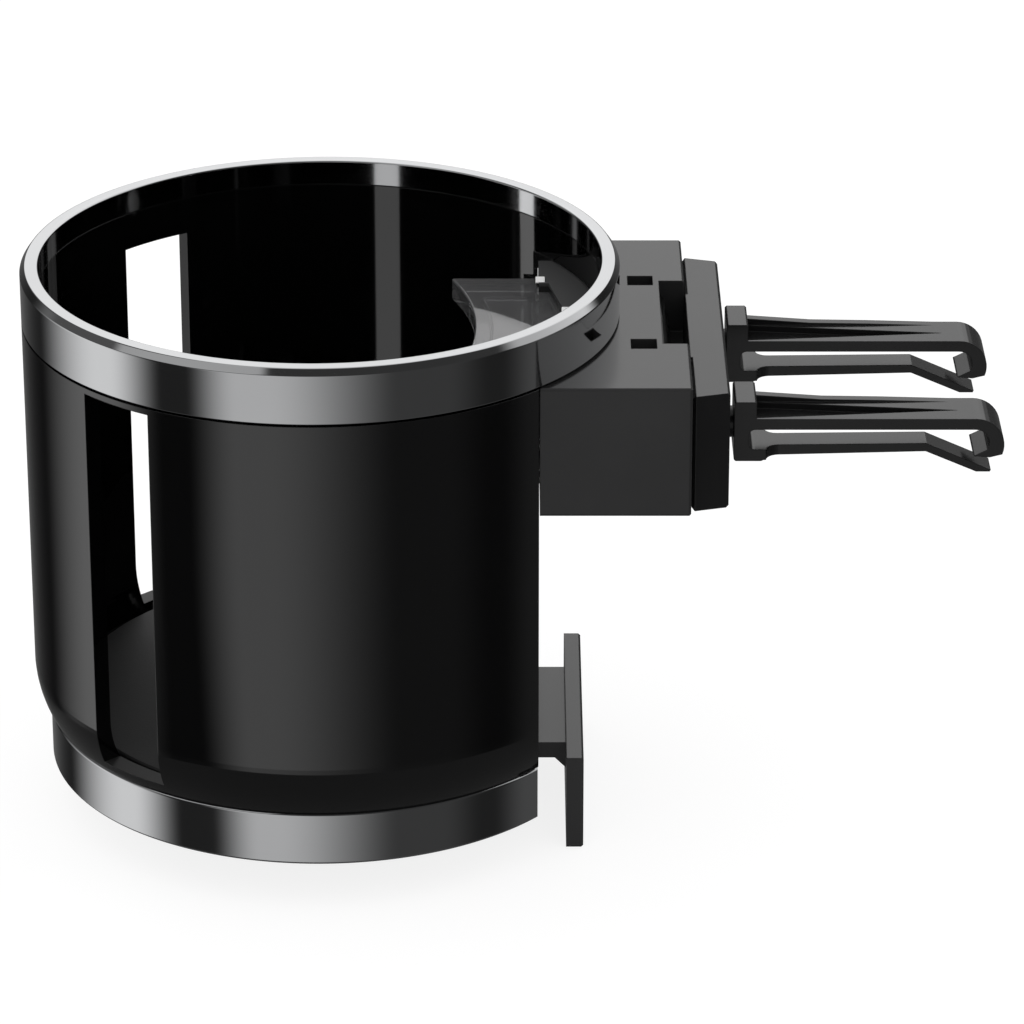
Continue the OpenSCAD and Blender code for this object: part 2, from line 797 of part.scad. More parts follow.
module support_foot() {
    edge = 0.3;
    brace = 1.6;
    ear_x = tongue_back + ear_l;
    color("#242426") union() {
        // The plate that leans on the dashboard
        across(-foot_w / 2, foot_w / 2) polygon([
            [plate_foot_x, foot_z], [plate_foot_x + foot_t - edge, foot_z],
            [plate_foot_x + foot_t, foot_z + edge], [plate_foot_x + foot_t, foot_z + foot_h - edge],
            [plate_foot_x + foot_t - edge, foot_z + foot_h], [plate_foot_x, foot_z + foot_h]]);
        // The tongue and the slanted brace below it
        slab(tongue_back, plate_foot_x + eps, tongue_w, tongue_z, tongue_top);
        across(-tongue_w / 2, tongue_w / 2) polygon([
            [plate_foot_x - brace, tongue_z + eps], [plate_foot_x + eps, tongue_z + eps],
            [plate_foot_x + eps, tongue_z - brace]]);
        // The ears that stop the tongue at the end of its travel
        slab(tongue_back, ear_x, tongue_w + 2 * tongue_ear, tongue_z, tongue_top);
    }
}

cup_body();
top_ring();
base_ring();
floor_mat();
base_cover();
base_screws();
bracket_housing();
housing_screws();
slide_bed();
guide_shoes();
pad_springs();
stabiliser_pad();
vent_bracket();
clip_near();
clip_far();
clip_washer_near();
clip_washer_far();
clip_screw_near();
clip_screw_far();
foot_spring();
support_foot();
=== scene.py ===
# %% [markdown]
# # A cup holder for a car's air vent
# This scene dresses a finished construction model. The model comes in as a fixed frame:
# every moulding is already there at its real size, on the body that it moves with.
# The lesson adds a camera, a small studio, the finishes and a few pieces whose edges need
# more care than a construction model gives them.

# %% Load the construction model
import json
import math

import bmesh
import bpy
import numpy as np
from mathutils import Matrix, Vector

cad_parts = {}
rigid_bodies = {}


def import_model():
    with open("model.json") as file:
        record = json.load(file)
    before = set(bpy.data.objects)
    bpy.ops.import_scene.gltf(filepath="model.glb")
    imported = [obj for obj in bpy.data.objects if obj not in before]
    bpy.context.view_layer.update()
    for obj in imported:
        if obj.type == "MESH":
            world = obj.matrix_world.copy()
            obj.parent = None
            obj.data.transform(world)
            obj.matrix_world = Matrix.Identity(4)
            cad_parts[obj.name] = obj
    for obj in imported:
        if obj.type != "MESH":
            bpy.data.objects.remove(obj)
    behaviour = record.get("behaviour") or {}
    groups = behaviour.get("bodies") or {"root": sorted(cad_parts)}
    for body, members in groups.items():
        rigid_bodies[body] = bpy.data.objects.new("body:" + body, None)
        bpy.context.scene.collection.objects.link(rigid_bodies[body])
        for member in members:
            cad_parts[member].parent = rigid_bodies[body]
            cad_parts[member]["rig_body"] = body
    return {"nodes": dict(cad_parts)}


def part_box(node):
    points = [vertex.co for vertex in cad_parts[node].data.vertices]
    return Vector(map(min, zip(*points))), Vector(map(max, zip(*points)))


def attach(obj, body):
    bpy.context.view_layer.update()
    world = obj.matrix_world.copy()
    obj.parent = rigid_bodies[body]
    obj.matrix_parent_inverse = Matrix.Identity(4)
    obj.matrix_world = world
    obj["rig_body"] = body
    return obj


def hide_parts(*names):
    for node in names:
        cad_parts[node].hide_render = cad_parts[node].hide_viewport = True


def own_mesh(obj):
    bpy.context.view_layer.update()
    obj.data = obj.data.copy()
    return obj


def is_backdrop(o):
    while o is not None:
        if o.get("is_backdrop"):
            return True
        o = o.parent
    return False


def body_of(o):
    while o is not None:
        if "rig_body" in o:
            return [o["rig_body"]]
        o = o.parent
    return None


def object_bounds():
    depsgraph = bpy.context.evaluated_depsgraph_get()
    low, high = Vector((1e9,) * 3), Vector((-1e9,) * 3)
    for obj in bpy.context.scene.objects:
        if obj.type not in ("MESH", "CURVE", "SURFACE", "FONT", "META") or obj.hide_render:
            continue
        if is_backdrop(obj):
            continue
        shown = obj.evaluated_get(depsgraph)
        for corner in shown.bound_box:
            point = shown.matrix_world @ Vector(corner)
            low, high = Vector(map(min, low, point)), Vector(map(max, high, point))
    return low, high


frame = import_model()
MM = 0.001
cad_low, cad_high = (np.array(corner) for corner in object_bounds())
print("construction box in mm:", np.round((cad_high - cad_low) / MM, 2))

# %% [markdown]
# The holder was photographed from a little above, with a long lens, so that upright edges
# stay almost parallel. A long lens can be had by standing far back with a small field of
# view, and that is what these numbers say. They were worked out from the ellipses of the rim
# and the base, which pin down how steeply the camera looks down.

# %% Camera
SENSOR_MM = 36.0
LENS_MM = 179.71
CAMERA_PLACE = (0.026883, -0.66927, 0.33127)
CAMERA_TILT = 66.19  # degrees up from looking straight down

scene = bpy.context.scene
lens_data = bpy.data.cameras.new("camera")
lens_data.sensor_width = SENSOR_MM
lens_data.lens = LENS_MM
camera = bpy.data.objects.new("camera", lens_data)
camera.location = CAMERA_PLACE
camera.rotation_euler = (math.radians(CAMERA_TILT), 0.0, 0.0)
scene.collection.objects.link(camera)
scene.camera = camera
scene.view_settings.view_transform = "Standard"
print("camera looks down by", round(90 - CAMERA_TILT, 2), "degrees")

# %% [markdown]
# Shader graphs read best as sums. This class wraps one socket of a graph, and each operator
# that is used on it adds the Math node that does the work.
# The graph class has one method for every other node: it takes the node's type, then its
# settings, and then the values or links of its sockets. A few short methods build on it.

# %% Shader sums


def pick(sockets, key):
    """The socket with this identifier or, failing that, with this name."""
    for socket in sockets:
        if socket.identifier == key:
            return socket
    return sockets[key]


class Link:
    """A socket that carries a number, and can be calculated with."""

    def __init__(self, graph, socket):
        self.graph = graph
        self.socket = socket

    def calc(self, operation, first, second):
        return self.graph.node("ShaderNodeMath", {"operation": operation}, {0: first, 1: second})

    def __add__(self, other):
        return self.calc("ADD", self, other)

    def __radd__(self, other):
        return self.calc("ADD", other, self)

    def __sub__(self, other):
        return self.calc("SUBTRACT", self, other)

    def __rsub__(self, other):
        return self.calc("SUBTRACT", other, self)

    def __mul__(self, other):
        return self.calc("MULTIPLY", self, other)

    def __rmul__(self, other):
        return self.calc("MULTIPLY", other, self)

    def __pow__(self, other):
        return self.calc("POWER", self, other)


class Graph:
    """A node tree that is filled by writing sums."""

    def __init__(self, tree):
        self.tree = tree
        tree.nodes.clear()

    def node(self, kind, settings=None, sockets=None, out=0):
        """Add a node, set it up, fill its sockets, and hand back one of its outputs."""
        made = self.tree.nodes.new(kind)
        for key, value in (settings or {}).items():
            setattr(made, key, value)
        for key, value in (sockets or {}).items():
            socket = made.inputs[key] if isinstance(key, int) else pick(made.inputs, key)
            if isinstance(value, Link):
                self.tree.links.new(value.socket, socket)
            else:
                socket.default_value = value
        if not made.outputs:
            return made
        return Link(self, made.outputs[out] if isinstance(out, int) else pick(made.outputs, out))

    def smooth(self, value, start, end, low=0.0, high=1.0):
        """low below start, high above end, and an S-shaped ramp between them."""
        return self.node(
            "ShaderNodeMapRange",
            {"interpolation_type": "SMOOTHSTEP"},
            {"Value": value, "From Min": start, "From Max": end, "To Min": low, "To Max": high},
        )

    def fall(self, value, start, end):
        """1 below start, 0 above end, and an S-shaped ramp between them."""
        return self.smooth(value, start, end, low=1.0, high=0.0)

    def mix(self, factor, colour_a, colour_b):
        """colour_a where factor is 0, colour_b where it is 1."""
        sockets = {"Factor_Float": factor, "A_Color": colour_a, "B_Color": colour_b}
        return self.node("ShaderNodeMix", {"data_type": "RGBA"}, sockets, "Result_Color")

    def place(self, stretch=(1, 1, 1)):
        """Object coordinates in metres, times stretch."""
        coords = self.node("ShaderNodeTexCoord", out="Object")
        return self.node("ShaderNodeMapping", None, {"Vector": coords, "Scale": stretch})

    def parts(self, vector):
        """The three numbers of a vector."""
        split = self.node("ShaderNodeSeparateXYZ", None, {"Vector": vector}).socket.node
        return [Link(self, split.outputs[axis]) for axis in "XYZ"]

    def noise(self, vector, scale, detail=2.0, roughness=0.5):
        """Smooth random values round 0.5, with about scale waves in a metre."""
        sockets = {"Vector": vector, "Scale": scale, "Detail": detail, "Roughness": roughness}
        return self.node("ShaderNodeTexNoise", None, sockets, "Fac")


# %% [markdown]
# Glossy black plastic has almost no colour of its own: what the eye sees on it is the studio.
# The photograph's round wall shows a tall pale band at the left, a black one beside it, a wide
# pale one that fades to the right, and near black beyond. Real studios do this with soft
# boxes and black flags. Cards could be stood round the holder, but the wall leans every
# reflection down by as much as the camera looks down, so the cards would have to pass through
# the floor. The boxes and flags are painted into the world instead, as soft steps of the
# compass angle, and only mirror-like rays see them. Every other ray sees plain white.
# The boxes low down are what the upright walls mirror. The ones high up are what the faces
# that look up mirror: a big light behind the holder, which makes the rim shine, and two weaker
# ones at the left. In front there is none, so the chamfer of the rim stays dark there. The
# low boxes end above a dark table, which the cup's shoulder over the lower ring mirrors.

# %% Studio light
FLAG_LEVEL = 0.022  # the black flags between the low boxes
TABLE_LEVEL = 0.09
SPILL_LEVEL = 0.13  # what the light behind spills on both rear sides
BACK_LEVEL = 1.2  # the big light behind
DIM_LEVEL = 0.05  # high up, between the boxes
ZENITH_LEVEL = 0.6  # straight overhead

world = bpy.data.worlds.new("studio")
scene.world = world
world.use_nodes = True
world.cycles.sampling_method = "NONE"
sky = Graph(world.node_tree)
# height is the sine of the elevation. The compass is 0 degrees on the camera's side, 90 at
# the right and 180 behind, and the left side counts down to -180.
east, north, height = sky.parts(sky.node("ShaderNodeTexCoord", out="Generated"))
turned_by = sky.node("ShaderNodeMath", {"operation": "ARCTAN2"}, {0: east, 1: 0.0 - north})
compass = turned_by * (180 / math.pi)


def soft_box(fade_in, fade_out, strength, lag=0.0):
    """A box of light between two soft edges, each (start, end) in degrees from the camera's side.

    The first edge may lag by some degrees, and it leans where the lag changes with height.
    """
    return sky.smooth(compass - lag, *fade_in) * sky.fall(compass, *fade_out) * strength


leaning = sky.smooth(height, -0.465, -0.41, low=4.0, high=0.0)
low_boxes = (
    soft_box((-134.5, -92), (-87, -61), strength=1.01)  # the tall band at the left
    + soft_box((-51, -30), (-20, 32), strength=0.665, lag=leaning)  # the wide band
    + soft_box((0, 25), (50, 70), strength=0.04)
    + soft_box((74, 94), (98, 118), strength=0.075)
    + sky.smooth(compass, -178, -132, low=SPILL_LEVEL, high=0.0)
    + sky.smooth(compass, 134, 178, low=0.0, high=SPILL_LEVEL)
    + FLAG_LEVEL
)
table = sky.fall(height, -0.52, -0.475)
low_boxes = low_boxes * (1.0 - table) + table * TABLE_LEVEL
high_boxes = (
    sky.smooth(compass, 80, 90, high=BACK_LEVEL / 2)
    + sky.smooth(compass, 86, 150, high=BACK_LEVEL / 2)
    + sky.smooth(compass, -170, -152, low=BACK_LEVEL, high=0.0)
    + soft_box((-90, -85), (-27, -21), strength=0.5) * sky.smooth(height, 0.42, 0.54)
    + soft_box((-158, -148), (-92, -84), strength=0.07)
    + DIM_LEVEL
)
above = sky.smooth(height, 0.2, 0.3)
zenith = sky.smooth(height, 0.86, 0.96)
reflected = (
    low_boxes * (1.0 - above)
    + high_boxes * above * (1.0 - zenith)
    + zenith * ZENITH_LEVEL
)
is_mirror_ray = sky.node("ShaderNodeLightPath", out="Is Glossy Ray")
level = reflected * is_mirror_ray + (1.0 - is_mirror_ray)
background = sky.node("ShaderNodeBackground", None, {"Color": (1, 1, 1, 1), "Strength": level})
sky.node("ShaderNodeOutputWorld", None, {"Surface": background})
print("studio: flags at", FLAG_LEVEL, "and the light behind at", BACK_LEVEL)

# %% [markdown]
# The floor is a plain pale sheet just under the foot. A white background could be had by
# lighting the floor harder, but that would light the holder too. So the sheet glows for what
# the camera sees, straight or through the clear pad, and keeps part of its real shading,
# which holds the soft shadow. Seen from underneath it is clear, so that the holder's bottom
# can be looked at.

# %% Floor
FLOOR_Z = cad_low[2] - 0.1 * MM
FLOOR_REACH = 4.0
PAPER_GREY = 0.8
SHADE_KEPT = 0.22
WHITE_SEEN = 1.06

floor_mesh = bpy.data.meshes.new("floor")
square = [(-1, -1), (1, -1), (1, 1), (-1, 1)]
corners = [(x * FLOOR_REACH, y * FLOOR_REACH, FLOOR_Z) for x, y in square]
floor_mesh.from_pydata(corners, [], [(0, 1, 2, 3)])
floor = bpy.data.objects.new("floor", floor_mesh)
scene.collection.objects.link(floor)
floor.visible_glossy = False

paper = bpy.data.materials.new("white_paper")
paper.use_nodes = True
g = Graph(paper.node_tree)
matt = g.node("ShaderNodeBsdfDiffuse", None, {"Color": (PAPER_GREY,) * 3 + (1.0,)})
faint = g.node("ShaderNodeBsdfDiffuse", None, {"Color": (SHADE_KEPT,) * 3 + (1.0,)})
glow_sockets = {"Color": (1, 1, 1, 1), "Strength": WHITE_SEEN - SHADE_KEPT}
glow = g.node("ShaderNodeEmission", None, glow_sockets)
seen = g.node("ShaderNodeAddShader", None, {0: faint, 1: glow})
straight = g.node("ShaderNodeLightPath", out="Is Camera Ray")
through = g.node("ShaderNodeLightPath", out="Is Transmission Ray")
sheet = g.node("ShaderNodeMixShader", None, {0: straight + through, 1: matt, 2: seen})
underside = g.node("ShaderNodeNewGeometry", out="Backfacing")
clear = g.node("ShaderNodeBsdfTransparent")
lit = g.node("ShaderNodeMixShader", None, {0: underside, 1: sheet, 2: clear})
g.node("ShaderNodeOutputMaterial", None, {"Surface": lit})
floor_mesh.materials.append(paper)
floor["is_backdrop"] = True
print("floor at z", round(FLOOR_Z / MM, 2), "mm")

# %% [markdown]
# Every finish is one principled shader, and what tells them apart is what goes into its
# sockets. So each finish is written as a recipe that hands back its sockets, and one function
# turns a recipe into a material.
# Every moulded edge has a small radius from the tool, even where a drawing shows a sharp
# corner. It can be cut into the mesh with a bevel, or the shading can be bent round the edge.
# The mouldings here keep their exact construction meshes, so the normal is bent: the Bevel
# node averages the directions of the faces within a small radius. How far it bends from the
# true normal also says where the edges are. Hands and cloths wear a moulding there: a glossy
# face gets a little duller, and a satin one smoother.

# %% Tools for the finishes
BEVEL_SAMPLES = 6
EDGE_GAIN = 4.0
finishes = {}


def make_finish(name, recipe, **settings):
    """A material whose principled shader has the sockets that the recipe gives."""
    material = bpy.data.materials.new(name)
    material.use_nodes = True
    graph = Graph(material.node_tree)
    shader = graph.node("ShaderNodeBsdfPrincipled", None, recipe(graph, **settings))
    graph.node("ShaderNodeOutputMaterial", None, {"Surface": shader})
    finishes[name] = material
    print("finish", name, "has", len(graph.tree.nodes), "nodes")


def grey(level, blue):
    """A near grey: level in red and in green, and blue in blue."""
    return (level, level, blue, 1.0)


def rounded(g, radius):
    """The normal, bent round every edge within a radius in metres."""
    return g.node("ShaderNodeBevel", {"samples": BEVEL_SAMPLES}, {"Radius": radius})


def edge_mask(g, bent):
    """0 on a face and up to 1 on an edge, from one minus the cosine of bent to true normal."""
    true = g.node("ShaderNodeNewGeometry", out="Normal")
    sockets = {0: bent, 1: true}
    cosine = g.node("ShaderNodeVectorMath", {"operation": "DOT_PRODUCT"}, sockets, "Value")
    return g.smooth((1.0 - cosine) * EDGE_GAIN, 0.05, 0.6)


def bump(g, height, distance, normal=None):
    """A normal tilted by the slope of height, whose full swing is distance metres."""
    sockets = {"Height": height, "Distance": distance, "Strength": 1.0}
    if normal:
        sockets["Normal"] = normal
    return g.node("ShaderNodeBump", None, sockets)


# %% [markdown]
# The cup is moulded in a hard plastic with a polished face, like a piano key. A clear coat
# over the plastic would mirror too much at the sides, where the wall turns away. One layer
# with a high index of refraction comes closer: strong in front, and milder at the sides.
# The mould leaves a long, very shallow ripple, and a cloth leaves faint arcs of haze. The
# windows are shaped by slides in the tool, which aren't polished, so their sills stay dull.
# A sill is what looks up and lies below 10 mm.

# %% Gloss black


def gloss_black(g):
    place = g.place()
    haze = g.noise(place, scale=55.0, detail=4.0, roughness=0.6)
    ripple = g.noise(g.place(stretch=(1.0, 1.0, 0.35)), scale=60.0, detail=1.0)
    bent = rounded(g, 0.14 * MM)
    worn = edge_mask(g, bent)
    upward = g.parts(g.node("ShaderNodeNewGeometry", out="Normal"))[2]
    sill = g.smooth(upward, 0.8, 0.95) * g.fall(g.parts(place)[2], 9.9 * MM, 10.3 * MM)
    return {
        "Base Color": g.mix(haze, grey(0.0008, 0.0009), grey(0.0016, 0.0017)),
        "Roughness": 0.02 + haze * 0.04 + worn * 0.08 + sill * 0.5,
        "IOR": 1.74,
        "Normal": bump(g, ripple, 0.01 * MM, bent),
    }


make_finish("gloss_black", gloss_black)

# %% [markdown]
# The block, the bracket, the clips and the foot are a tougher plastic with a satin face,
# which mirrors the studio softly. The tool is finely blasted, which leaves a grain of about
# a fifth of a millimetre. The grain is a bump of fine noise, and the same noise varies the
# roughness a little. The ledge inside the cup's mouth is blasted more, so it looks even, and
# its colour is painted a step lighter, which is a painted reflection. The bracket and the
# clips get the same plastic painted darker than the block and the foot, which is painted shade.

# %% Satin black


def satin_black(g, level):
    """level is the colour, near black, which for the bracket and the clips is lowered as painted
    shade.
    """

    def shade(factor, blue_factor):
        return grey(level * factor, level * blue_factor)

    place = g.place()
    grain = g.noise(place, scale=5200.0, detail=2.0, roughness=0.6)
    cloud = g.noise(place, scale=90.0, detail=3.0)
    bent = rounded(g, 0.2 * MM)
    worn = edge_mask(g, bent)
    x, y, z = g.parts(place)
    in_the_cup = g.fall((x * x + y * y) ** 0.5, 38.9 * MM, 39.5 * MM)
    # The ledge: rougher, and its colour painted lighter as a painted reflection.
    ledge_rough_and_painted_light = in_the_cup * g.smooth(z, 65.4 * MM, 65.8 * MM)
    colour = g.mix(cloud, shade(0.8, 0.82), shade(1.2, 1.22))
    # Painted reflection: the ledge's colour is lifted to 2.8 times the plastic's own.
    colour = g.mix(ledge_rough_and_painted_light, colour, shade(2.8, 2.85))
    return {
        "Base Color": g.mix(worn * 0.5, colour, shade(2.2, 2.2)),
        "Roughness": 0.14 + cloud * 0.05 + grain * 0.04 - worn * 0.03 + ledge_rough_and_painted_light * 0.65,
        "IOR": 1.6,
        "Specular IOR Level": 0.29,
        "Normal": bump(g, grain, 0.0012 * MM, bent),
    }


make_finish("satin_black", satin_black, level=0.018)
# The darker level is painted shade on the bracket and the clips.
make_finish("satin_black_painted_shade", satin_black, level=0.008)

# %% [markdown]
# The two rings are plastic with a plated face. Plating shows as a metal, so the base colour
# is the plating's own grey. It is a little uneven, and it takes hair scratches that run
# round the ring, the way a cloth goes.

# %% Dark chrome


def dark_chrome(g):
    haze = g.noise(g.place(), scale=70.0, detail=3.0)
    hair = g.noise(g.place(stretch=(1.0, 1.0, 60.0)), scale=60.0, detail=2.0, roughness=0.6)
    return {
        "Base Color": g.mix(haze, (0.51, 0.515, 0.525, 1.0), (0.56, 0.565, 0.57, 1.0)),
        "Metallic": 1.0,
        "Roughness": 0.04 + haze * 0.03 + hair * 0.03,
        "Normal": bump(g, hair, 0.0005 * MM),
    }


make_finish("dark_chrome", dark_chrome)

# %% [markdown]
# A dull mat lies on the cup's floor, so that a can doesn't ring on it. Rubber scatters light
# widely, and its face has a fine leathery grain.

# %% Mat rubber


def mat_rubber(g):
    place = g.place()
    grain = g.noise(place, scale=2600.0, detail=3.0, roughness=0.6)
    cloud = g.noise(place, scale=80.0, detail=3.0)
    return {
        "Base Color": g.mix(cloud, grey(0.008, 0.0082), grey(0.012, 0.0123)),
        "Roughness": 0.5 + cloud * 0.1 + grain * 0.08,
        "Normal": bump(g, grain, 0.02 * MM, rounded(g, 0.15 * MM)),
    }


make_finish("mat_rubber", mat_rubber)

# %% [markdown]
# The screws, washers and springs are bright plated steel. Wire and turned heads both carry
# fine lines from the tool, which spread the shine.

# %% Bright steel


def bright_steel(g):
    cloud = g.noise(g.place(), scale=300.0, detail=3.0)
    lines = g.noise(g.place(stretch=(1.0, 1.0, 8.0)), scale=2500.0, detail=2.0)
    return {
        "Base Color": g.mix(cloud, grey(0.58, 0.57), grey(0.68, 0.68)),
        "Metallic": 1.0,
        "Roughness": 0.22 + cloud * 0.08 + lines * 0.08,
        "Normal": bump(g, lines, 0.003 * MM, rounded(g, 0.08 * MM)),
    }


make_finish("bright_steel", bright_steel)

# %% [markdown]
# Small white guides show beside the pad's rear edge. They are a slippery white plastic, such
# as nylon, with a waxy face.

# %% White nylon


def white_nylon(g):
    cloud = g.noise(g.place(), scale=500.0, detail=3.0)
    return {
        "Base Color": g.mix(cloud, grey(0.93, 0.92), grey(0.97, 0.97)),
        "Roughness": 0.3 + cloud * 0.1,
        "Normal": bump(g, cloud, 0.01 * MM),
    }


make_finish("white_nylon", white_nylon)

# %% [markdown]
# The pad is a clear plastic tinted like smoked glass. Light goes through it and loses some
# strength on the way, and its faces mirror the light behind. A little of the light is
# scattered inside, which is why such a pad looks grey, not black, over a dark cup.

# %% Clear smoke


def clear_smoke(g):
    haze = g.noise(g.place(), scale=120.0, detail=3.0)
    return {
        "Base Color": g.mix(haze, grey(0.5, 0.51), grey(0.56, 0.57)),
        "Roughness": 0.02 + haze * 0.03,
        "IOR": 1.49,
        "Transmission Weight": 0.89,
        "Normal": bump(g, haze, 0.008 * MM),
    }


make_finish("clear_smoke", clear_smoke)

# %% [markdown]
# Each moulding now gets its finish. The meshes stay as they are, and only their material
# slots are filled.

# %% Finishes on the mouldings
worn_by = {
    "gloss_black": ["cup_body"],
    "satin_black": ["base_cover", "bracket_housing", "slide_bed", "support_foot"],
    # This finish paints shade: its colour is darker than the block's.
    "satin_black_painted_shade": ["vent_bracket", "clip_near", "clip_far"],
    "dark_chrome": ["top_ring", "base_ring"],
    "mat_rubber": ["floor_mat"],
    "bright_steel": [
        "base_screws", "housing_screws", "pad_springs", "foot_spring",
        "clip_washer_near", "clip_washer_far", "clip_screw_near", "clip_screw_far",
    ],
    "white_nylon": ["guide_shoes"],
    "clear_smoke": ["stabiliser_pad"],
}
for finish, members in worn_by.items():
    for member in members:
        slots = frame["nodes"][member].data.materials
        slots.clear()
        slots.append(finishes[finish])
print("mouldings with a finish:", sum(len(members) for members in worn_by.values()))

# %% [markdown]
# Some pieces need rounder edges than the construction model has. Their surfaces are worked
# out here as grids of points, because a surface that comes from a formula has an exact
# normal at every point, and mirrors the studio without a ripple. A grid has two directions:
# along the piece, and across its skin. Its faces are numbered from a table of indices.

# %% Surfaces from grids


def rounded_corners(corners, radii, steps=6):
    """A closed outline, drawn anticlockwise, whose corners are arcs.

    The arc's centre lies on the bisector of the corner, at radius / sin(half the angle) from
    it. The arc turns evenly from one touching point to the other. A corner of radius 0 stays
    one point, with the direction of its bisector as its normal.
    """
    corners = np.asarray(corners, float)
    radii = np.broadcast_to(np.asarray(radii, float), len(corners))[:, None]
    back = np.roll(corners, 1, axis=0) - corners
    ahead = np.roll(corners, -1, axis=0) - corners
    back /= np.linalg.norm(back, axis=1, keepdims=True)
    ahead /= np.linalg.norm(ahead, axis=1, keepdims=True)
    half = np.arccos(np.clip((back * ahead).sum(axis=1), -1, 1))[:, None] / 2
    bisector = (back + ahead) / np.linalg.norm(back + ahead, axis=1, keepdims=True)
    centre = corners + bisector * radii / np.sin(half)
    start = (back / np.tan(half) - bisector / np.sin(half))[:, None]
    end = (ahead / np.tan(half) - bisector / np.sin(half))[:, None]
    sweep = (np.pi - 2 * half)[:, None]
    s = np.linspace(0, 1, steps + 1)[None, :, None]
    turn = (np.sin((1 - s) * sweep) * start + np.sin(s * sweep) * end) / np.sin(sweep)
    convex = np.sign(ahead[:, 0] * back[:, 1] - ahead[:, 1] * back[:, 0])[:, None, None]
    points = centre[:, None] + radii[:, None] * turn
    keep = (radii > 0) | (np.arange(steps + 1) == steps // 2)[None, :]
    return points[keep], (turn * convex)[keep]


def with_third(pairs, third):
    """Pairs of numbers, each given a third one that is the same along its row."""
    return np.concatenate([pairs, np.broadcast_to(third, pairs.shape[:2] + (1,))], axis=-1)


def surface(name, grid, normals, wrap_rows=False, wrap_columns=True, caps=(), cap_normals=()):
    """A mesh object from a grid of points in mm and their normals.

    Point (i, j) is joined to (i + 1, j), (i + 1, j + 1) and (i, j + 1). Rows and columns wrap
    round where that is asked. Each line of points named in caps is closed with a flat face.
    """
    rows, columns = grid.shape[:2]
    index = np.arange(rows * columns).reshape(rows, columns)
    table = np.vstack([index, index[:1]]) if wrap_rows else index
    table = np.hstack([table, table[:, :1]]) if wrap_columns else table
    quads = np.stack([table[:-1, :-1], table[1:, :-1], table[1:, 1:], table[:-1, 1:]], axis=-1)
    faces = quads.reshape(-1, 4).tolist() + [index[key].tolist() for key in caps]
    mesh = bpy.data.meshes.new(name)
    mesh.from_pydata((grid.reshape(-1, 3) * MM).tolist(), [], faces)
    shell = bmesh.new()
    shell.from_mesh(mesh)
    bmesh.ops.recalc_face_normals(shell, faces=shell.faces)
    volume = shell.calc_volume(signed=True) / MM**3
    shell.to_mesh(mesh)
    shell.free()
    mesh.polygons.foreach_set("use_smooth", np.ones(len(faces), bool))
    at_corner = np.empty(len(mesh.loops), np.int32)
    mesh.loops.foreach_get("vertex_index", at_corner)
    corner_normals = normals.reshape(-1, 3)[at_corner]
    for face, flat in zip(mesh.polygons[len(faces) - len(caps):], cap_normals):
        corner_normals[face.loop_start:face.loop_start + face.loop_total] = flat
    mesh.normals_split_custom_set(corner_normals.tolist())
    made = bpy.data.objects.new(name, mesh)
    scene.collection.objects.link(made)
    print(name, len(faces), "faces,", round(volume, 1), "mm3")
    return made


def node_box(node):
    """A node's lowest and highest corners, in mm."""
    return [np.array(corner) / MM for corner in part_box(node)]


def stands_for(piece, node, finish):
    """The piece takes the node's place on the node's body, and wears the finish."""
    piece.data.materials.append(finishes[finish])
    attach(piece, body_of(frame["nodes"][node])[0])
    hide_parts(node)


# %% [markdown]
# The trim ring over the rim is one profile carried round the cup's axis. On the real object
# it is a pressed or moulded ring with a small radius on each edge, and those radii draw the
# thin bright and dark lines round the rim. A lathe modifier could turn the profile, but the
# formula gives the same and keeps the exact normals.

# %% Top ring


def turned(outline, normals, columns, cut_at=None):
    """An outline of (radius, height) points carried round the Z axis.

    Each point goes to (radius x cos, radius x sin, height). Where the ring is cut flat at
    x = cut_at, each circle starts and ends where it meets that plane, at the angle whose
    cosine is cut_at / radius.
    """
    radius, level = outline[:, :1], outline[:, 1:]
    begin = 0.0 * radius if cut_at is None else np.arccos(cut_at / radius)
    share = np.linspace(0, 1, columns, endpoint=cut_at is not None)[None, :]
    angle = begin + share * (2 * np.pi - 2 * begin)
    around = np.stack([np.cos(angle), np.sin(angle)], axis=-1)
    grid = with_third(radius[..., None] * around, level[..., None])
    lean = with_third(normals[:, :1, None] * around, normals[:, 1:, None])
    return grid, lean


RING_COLUMNS = 256
SKIRT_T = 1.2  # the ring's wall over the cup
CHAMFER_IN, CHAMFER_DOWN = 0.68, 0.93
LIP_IN, LIP_DOWN = 2.61, 3.6  # the lip that turns over the rim and into the mouth

low, high = node_box("top_ring")
outer, rim = high[0], high[2]
ring_outline = rounded_corners(
    [
        (outer - SKIRT_T, low[2]), (outer, low[2]),
        (outer, rim - CHAMFER_DOWN), (outer - CHAMFER_IN, rim),
        (outer - LIP_IN, rim), (outer - LIP_IN, rim - LIP_DOWN),
        (outer - SKIRT_T, rim - LIP_DOWN),
    ],
    [0.08, 0.15, 0.35, 0.25, 0.25, 0.1, 0.05],
)
top_ring = surface("trim_ring", *turned(*ring_outline, RING_COLUMNS), wrap_rows=True)
stands_for(top_ring, "top_ring", "dark_chrome")

# %% [markdown]
# The band round the base is the same kind of ring, but its back is cut off flat, where the
# foot comes out. So each circle of its grid is an arc that ends at the cut, and the two ends
# are closed with a flat face.

# %% Base ring
BAND_COLUMNS = 193
BAND_T = 1.6
FLANGE_IN, FLANGE_T = 3.3, 0.8  # the flange that turns in under the cup
FOOT_CHAMFER, TOP_CHAMFER = 0.3, 0.5

